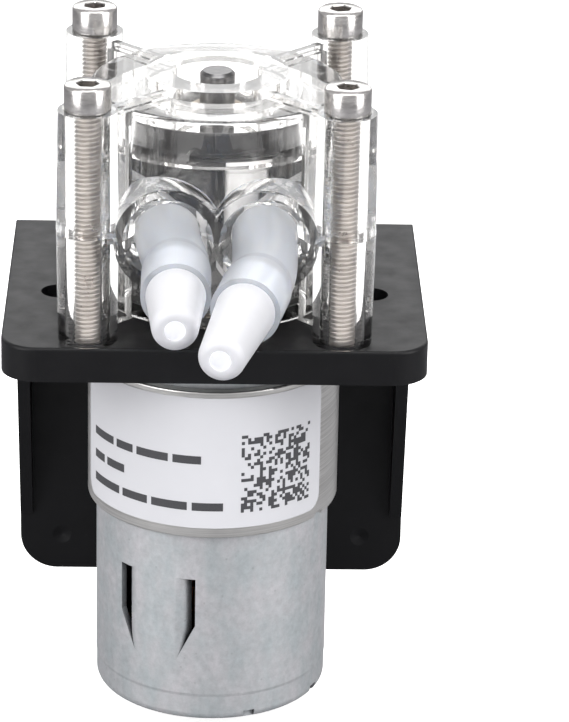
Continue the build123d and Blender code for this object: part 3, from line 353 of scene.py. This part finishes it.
def label_film():
    """White label film with a satin face and a faint unevenness where it wraps the sleeve."""
    r = Recipe("white_label_film")
    color = r.mixed(r.noise(150, 3), (0.6, 0.6, 0.625), (0.64, 0.64, 0.665))
    r.set(Base_Color=color, Roughness=r.between(r.noise(900, 3), 0.32, 0.42))
    return r.bumped(r.noise(260, 2), 0.08, 0.0001).material


def print_ink():
    """Dark grey print, a little uneven."""
    r = Recipe("label_ink")
    color = r.mixed(r.noise(5000, 3), (0.035, 0.035, 0.04), (0.065, 0.065, 0.07))
    return r.set(Base_Color=color, Roughness=0.5).bumped(r.noise(6000, 2), 0.05, 0.00001).material


def matte(name, dark, light, rough, scale, bump=0.15, depth=0.00004):
    """A plain material with mottled colour, varied roughness and a fine surface."""
    r = Recipe(name)
    r.set(Base_Color=r.mixed(r.noise(scale, 4), dark, light))
    r.set(Roughness=r.between(r.noise(scale * 3, 3), *rough))
    return r.bumped(r.noise(scale * 8, 3), bump, depth).material


def laminations():
    """Stacked thin steel sheets: close lines round the armature."""
    r = Recipe("steel_laminations")
    wave = r.node("ShaderNodeTexWave", bands_direction="Z")
    wave.inputs["Scale"].default_value = 320
    r.link(r.place, wave.inputs["Vector"])
    color = r.mixed(wave.outputs["Fac"], (0.16, 0.17, 0.19), (0.36, 0.37, 0.4))
    r.set(Base_Color=color, Metallic=0.9, Roughness=r.between(r.noise(800, 3), 0.35, 0.55))
    return r.bumped(wave.outputs["Fac"], 0.4, 0.0001).material


def make_materials():
    """Every material by the record's slot name."""
    return {
        "black_plastic": black_plastic(),
        "clear_plastic": clear_plastic(),
        "silicone": silicone(),
        "white_plastic": white_plastic(),
        "stainless": metal(
            "turned_stainless", (0.5, 0.48, 0.465), (0.68, 0.66, 0.645), (0.16, 0.3), 700, (1, 1, 3)
        ),
        "zinc_plate": zinc_plate(),
        "flux_steel": flux_steel(),
        "label_film": label_film(),
        "tool_steel": metal(
            "ground_tool_steel", (0.1, 0.1, 0.105), (0.19, 0.185, 0.18), (0.24, 0.38), 900, (1, 1, 6)
        ),
        "rotor_plastic": matte(
            "dark_rotor_plastic", (0.008, 0.008, 0.009), (0.016, 0.016, 0.018), (0.12, 0.22), 300, 0.03
        ),
        "roller_plastic": matte(
            "white_roller_plastic", (0.7, 0.7, 0.71), (0.8, 0.8, 0.82), (0.25, 0.38), 260, 0.08
        ),
        "bronze": metal(
            "sintered_bronze", (0.3, 0.27, 0.23), (0.48, 0.43, 0.36), (0.4, 0.6), 1500, bump=0.4
        ),
        "copper": metal(
            "enamelled_copper", (0.42, 0.13, 0.05), (0.75, 0.3, 0.13), (0.2, 0.35), 500, (1, 1, 0.2)
        ),
        "brass": metal("stamped_brass", (0.55, 0.4, 0.16), (0.75, 0.58, 0.28), (0.22, 0.36), 420, (1, 3, 1)),
        "laminations": laminations(),
        "ferrite": matte("grey_ferrite", (0.035, 0.035, 0.038), (0.07, 0.07, 0.075), (0.6, 0.8), 500, 0.3),
        "carbon": matte("pressed_carbon", (0.01, 0.01, 0.01), (0.03, 0.03, 0.03), (0.4, 0.6), 900, 0.3),
    }


def dress_cad_nodes(materials):
    """Gives each CAD node its material and smooth shading with crisp edges."""
    for part in frame["record"]["subparts"]:
        piece = frame["nodes"][part["node"]]
        piece.data.materials.clear()
        piece.data.materials.append(materials[part["material_slot"]])
        piece.data.shade_smooth()
        piece.data.set_sharp_from_angle(angle=math.radians(CAD_SHARP_DEGREES))


# ---- Mesh helpers ----
def piece_from(bm, name, material, body):
    """Turns a bmesh into a smooth-shaded piece that rides a body."""
    bmesh.ops.remove_doubles(bm, verts=bm.verts, dist=MERGE_DISTANCE)
    bmesh.ops.recalc_face_normals(bm, faces=bm.faces)
    mesh = bpy.data.meshes.new(name)
    bm.to_mesh(mesh)
    bm.free()
    mesh.shade_smooth()
    mesh.set_sharp_from_angle(angle=math.radians(PIECE_SHARP_DEGREES))
    piece = bpy.data.objects.new(name, mesh)
    bpy.context.scene.collection.objects.link(piece)
    mesh.materials.append(material)
    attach(piece, body)
    return piece


def bridge(bm, lower, upper):
    """Quads between two closed loops of the same length."""
    count = len(lower)
    for i in range(count):
        j = (i + 1) % count
        bm.faces.new((lower[i], lower[j], upper[j], upper[i]))


def loop_at(bm, centre, radius_at, z):
    """A closed loop of vertices whose radius depends on the angle."""
    loop = []
    for i in range(SCREW_SEGMENTS):
        angle = 2 * math.pi * i / SCREW_SEGMENTS
        r = radius_at(angle)
        loop.append(bm.verts.new((centre[0] + r * math.cos(angle), centre[1] + r * math.sin(angle), z)))
    return loop


def round_radius(r):
    return lambda angle: r


def hexagon_radius(flats, turn):
    """Distance from the middle to a hexagon's side at each angle."""
    side = math.pi / 3

    def radius(angle):
        local = (angle + turn) % side - side / 2
        return flats / 2 / math.cos(local)

    return radius


# ---- Head screws ----
def screw_head(bm, centre, seat_z, turn):
    """A socket head: rounded lower edge, bevelled upper rim, hexagon socket with a conical bottom."""
    top = seat_z + SCREW_HEAD_HEIGHT
    e = SCREW_EDGE
    socket = SCREW_SOCKET_FLATS
    rings = [
        (round_radius(THREAD_R * 0.9), seat_z),
        (round_radius(SCREW_HEAD_R - 0.3 * e), seat_z),
        (round_radius(SCREW_HEAD_R), seat_z + 0.3 * e),
        (round_radius(SCREW_HEAD_R), top - e),
        (round_radius(SCREW_HEAD_R - 0.3 * e), top - 0.35 * e),
        (round_radius(SCREW_HEAD_R - 0.9 * e), top),
        (hexagon_radius(socket + 0.5 * e, turn), top),
        (hexagon_radius(socket, turn), top - 0.3 * e),
        (hexagon_radius(socket, turn), top - SCREW_SOCKET_DEPTH),
        (round_radius(socket * 0.12), top - SCREW_SOCKET_DEPTH - SCREW_POINT_DEPTH),
    ]
    loops = [loop_at(bm, centre, radius_at, z) for radius_at, z in rings]
    for lower, upper in zip(loops, loops[1:]):
        bridge(bm, lower, upper)
    bm.faces.new(loops[-1])
    bm.faces.new(list(reversed(loops[0])))


def screw_thread(bm, centre, low_z, high_z):
    """A helical thread as one closed spiral surface, cut flat at both ends."""
    steps = len(THREAD_PROFILE)
    turns = int((high_z - low_z) / THREAD_PITCH) + 3
    rows = turns * steps
    grid = []
    for row in range(rows):
        line = []
        radius = THREAD_R - THREAD_DEPTH * THREAD_PROFILE[row % steps]
        for i in range(THREAD_STEPS_ROUND + 1):
            angle = 2 * math.pi * i / THREAD_STEPS_ROUND
            z = low_z + THREAD_PITCH * (row / steps + i / THREAD_STEPS_ROUND - 1.5)
            z = min(max(z, low_z), high_z)
            x = centre[0] + radius * math.cos(angle)
            y = centre[1] + radius * math.sin(angle)
            line.append(bm.verts.new((x, y, z)))
        grid.append(line)
    for row in range(rows - 1):
        for i in range(THREAD_STEPS_ROUND):
            corners = (grid[row][i], grid[row][i + 1], grid[row + 1][i + 1], grid[row + 1][i])
            heights = {round(v.co.z, 8) for v in corners}
            if len(heights) > 1:
                bm.faces.new(corners)


def build_head_screws(materials):
    """Four threaded screws in place of the plain CAD ones."""
    thread = metal("rolled_thread", (0.4, 0.37, 0.35), (0.52, 0.49, 0.47), (0.24, 0.34), 400, bump=0.02)
    screw_x = SCREW_HIGH.x - SCREW_HEAD_R
    screw_y = SCREW_HIGH.y - SCREW_HEAD_R
    seat_z = SCREW_HIGH.z - SCREW_HEAD_HEIGHT
    places = [(side_x * screw_x, side_y * screw_y) for side_x in (-1, 1) for side_y in (-1, 1)]
    for number, (centre, turn) in enumerate(zip(places, SCREW_SOCKET_TURNS), start=1):
        bm = bmesh.new()
        screw_head(bm, centre, seat_z, turn)
        head = piece_from(bm, f"head_screw_{number}", materials["stainless"], "frame")
        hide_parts("head_screws")
        bm = bmesh.new()
        screw_thread(bm, centre, SCREW_LOW.z, seat_z)
        piece_from(bm, f"head_screw_thread_{number}", thread, "frame")


# ---- Label print ----
def label_patch(bm, left, right, low, high):
    """A thin raised patch on the label between two azimuths and two heights."""
    inner = LABEL_R + PRINT_LIFT
    outer = inner + PRINT_THICKNESS
    steps = max(1, math.ceil((right - left) / PRINT_STEP_DEGREES))
    columns = []
    for step in range(steps + 1):
        azimuth = math.radians(left + (right - left) * step / steps)
        x, y = math.sin(azimuth), -math.cos(azimuth)
        section = ((inner, low), (outer, low), (outer, high), (inner, high))
        columns.append([bm.verts.new((r * x, r * y, z)) for r, z in section])
    for a, b in zip(columns, columns[1:]):
        for i in range(4):
            j = (i + 1) % 4
            bm.faces.new((a[i], b[i], b[j], a[j]))
    bm.faces.new(columns[0])
    bm.faces.new(list(reversed(columns[-1])))


def word_row(bm, left, low, high, words):
    """A row of plain bars that stands for a line of print; words are bar lengths in degrees."""
    for length in words:
        label_patch(bm, left, left + length, low, high)
        left += length + WORD_GAP_DEGREES


def build_label_print(materials):
    """Generic print: three rows of plain bars and a block of random cells that spell and encode nothing."""
    height = LABEL_HIGH.z - LABEL_LOW.z
    top = LABEL_HIGH.z
    bm = bmesh.new()
    bar = BAR_HEIGHT * height
    for share, words in BAR_ROWS:
        middle = top - share * height
        word_row(bm, BAR_LEFT, middle - bar / 2, middle + bar / 2, words)
    piece_from(bm, "label_bars", materials["ink"], "frame")

    draw = random.Random(CODE_SEED)
    high_z = top - CODE_TOP * height
    low_z = top - CODE_BOTTOM * height
    wide = (CODE_RIGHT - CODE_LEFT) / CODE_CELLS
    tall = (high_z - low_z) / CODE_CELLS
    bm = bmesh.new()
    for row in range(CODE_CELLS):
        run = 0
        for column in range(CODE_CELLS + 1):
            filled = column < CODE_CELLS and draw.random() < CODE_FILLED_SHARE
            if filled:
                run += 1
            elif run:
                start = CODE_LEFT + (column - run) * wide
                label_patch(bm, start, start + run * wide, low_z + row * tall, low_z + (row + 1) * tall)
                run = 0
    piece_from(bm, "label_cells", materials["ink"], "frame")


# ---- Stage ----
def build_floor():
    """A plain pale floor just below the pump; seen from far to the side through clear parts, it darkens."""
    bm = bmesh.new()
    corners = []
    for side_x, side_y in ((-1, -1), (1, -1), (1, 1), (-1, 1)):
        corners.append(bm.verts.new((side_x * FLOOR_HALF, side_y * FLOOR_HALF, FLOOR_Z)))
    bm.faces.new(corners)
    mesh = bpy.data.meshes.new("floor")
    bm.to_mesh(mesh)
    bm.free()
    floor = bpy.data.objects.new("floor", mesh)
    bpy.context.scene.collection.objects.link(floor)
    r = Recipe("pale_floor")
    path = r.node("ShaderNodeLightPath")
    split = r.node("ShaderNodeSeparateXYZ")
    r.link(r.place, split.inputs[0])
    aside = r.math("ABSOLUTE", split.outputs["X"])
    darkening = r.ramp(aside, FLOOR_MIDDLE_THROUGH, FLOOR_SIDE_THROUGH)
    through = r.math("MULTIPLY", path.outputs["Is Transmission Ray"], darkening)
    seen = r.math("MAXIMUM", path.outputs["Is Camera Ray"], through)
    grain = r.mixed(r.noise(40, 3), (0.28, 0.28, 0.29), (0.32, 0.32, 0.33))
    r.set(Base_Color=r.mixed(seen, grain, (0.9, 0.9, 0.9)), Roughness=0.9, Specular_IOR_Level=0.0)
    r.set(Emission_Color=(1.0, 1.0, 1.0, 1.0), Emission_Strength=r.math("MULTIPLY", seen, FLOOR_GLOW))
    mesh.materials.append(r.material)


def softbox(name, place, size, power):
    """A rectangular softbox aimed at the pump."""
    data = bpy.data.lights.new(name, "AREA")
    data.shape = "RECTANGLE"
    data.size, data.size_y = size
    data.energy = power
    light = bpy.data.objects.new(name, data)
    aim = LIGHT_TARGET - Vector(place)
    light.matrix_world = Matrix.Translation(place) @ aim.to_track_quat("-Z", "Y").to_matrix().to_4x4()
    bpy.context.scene.collection.objects.link(light)


def build_lights():
    """Soft studio light from both sides, above and behind."""
    for name, place, size, power in SOFTBOXES:
        softbox(name, place, size, power)


def build_world():
    """A pale room; rays that come through clear parts find its sides darker, so clear edges show."""
    world = bpy.data.worlds.new("studio")
    bpy.context.scene.world = world
    world.use_nodes = True
    tree = world.node_tree
    tree.nodes.clear()
    background = tree.nodes.new("ShaderNodeBackground")
    output = tree.nodes.new("ShaderNodeOutputWorld")
    split = tree.nodes.new("ShaderNodeSeparateXYZ")
    tree.links.new(tree.nodes.new("ShaderNodeTexCoord").outputs["Generated"], split.inputs[0])
    room = world_ramp(tree, split.outputs["Y"], ROOM_FRONT, ROOM_BACK)
    aside = tree.nodes.new("ShaderNodeMath")
    aside.operation = "ABSOLUTE"
    tree.links.new(split.outputs["X"], aside.inputs[0])
    edges = world_ramp(tree, aside.outputs[0], ROOM_MIDDLE_THROUGH, ROOM_SIDE_THROUGH)
    mix = tree.nodes.new("ShaderNodeMix")
    mix.data_type = "RGBA"
    tree.links.new(tree.nodes.new("ShaderNodeLightPath").outputs["Is Transmission Ray"], mix.inputs["Factor"])
    tree.links.new(room, mix.inputs["A"])
    tree.links.new(edges, mix.inputs["B"])
    tree.links.new(mix.outputs["Result"], background.inputs["Color"])
    tree.links.new(background.outputs[0], output.inputs["Surface"])


def world_ramp(tree, value, low, high):
    """Spreads a direction's part from -1 to 1 between two (place, grey) stops."""
    spread = tree.nodes.new("ShaderNodeMapRange")
    spread.inputs["From Min"].default_value = -1.0
    ramp = tree.nodes.new("ShaderNodeValToRGB")
    for element, (place, grey) in zip(ramp.color_ramp.elements, (low, high)):
        element.position = place
        element.color = (grey, grey, grey * ROOM_BLUE, 1.0)
    tree.links.new(value, spread.inputs["Value"])
    tree.links.new(spread.outputs[0], ramp.inputs["Fac"])
    return ramp.outputs["Color"]


def build_camera():
    """A long lens at the viewing angle of a product shot: a little above, almost straight on."""
    elevation = math.radians(CAMERA_ELEVATION)
    azimuth = math.radians(CAMERA_AZIMUTH)
    level = math.cos(elevation)
    back = Vector((math.sin(azimuth) * level, -math.cos(azimuth) * level, math.sin(elevation)))
    data = bpy.data.cameras.new("camera")
    data.lens = CAMERA_LENS
    data.sensor_width = SENSOR_SIZE
    data.clip_start = 0.01
    camera = bpy.data.objects.new("camera", data)
    right = Vector((0, 0, 1)).cross(back).normalized()
    up = back.cross(right)
    turn = Matrix((right, up, back)).transposed() @ Matrix.Rotation(math.radians(CAMERA_ROLL), 3, "Z")
    camera.matrix_world = Matrix.Translation(CAMERA_TARGET + CAMERA_DISTANCE * back) @ turn.to_4x4()
    bpy.context.scene.collection.objects.link(camera)
    bpy.context.scene.camera = camera


bpy.context.scene.view_settings.view_transform = "Standard"
MATERIALS = make_materials()
MATERIALS["ink"] = print_ink()
dress_cad_nodes(MATERIALS)
build_head_screws(MATERIALS)
build_label_print(MATERIALS)
build_floor()
build_lights()
build_world()
build_camera()
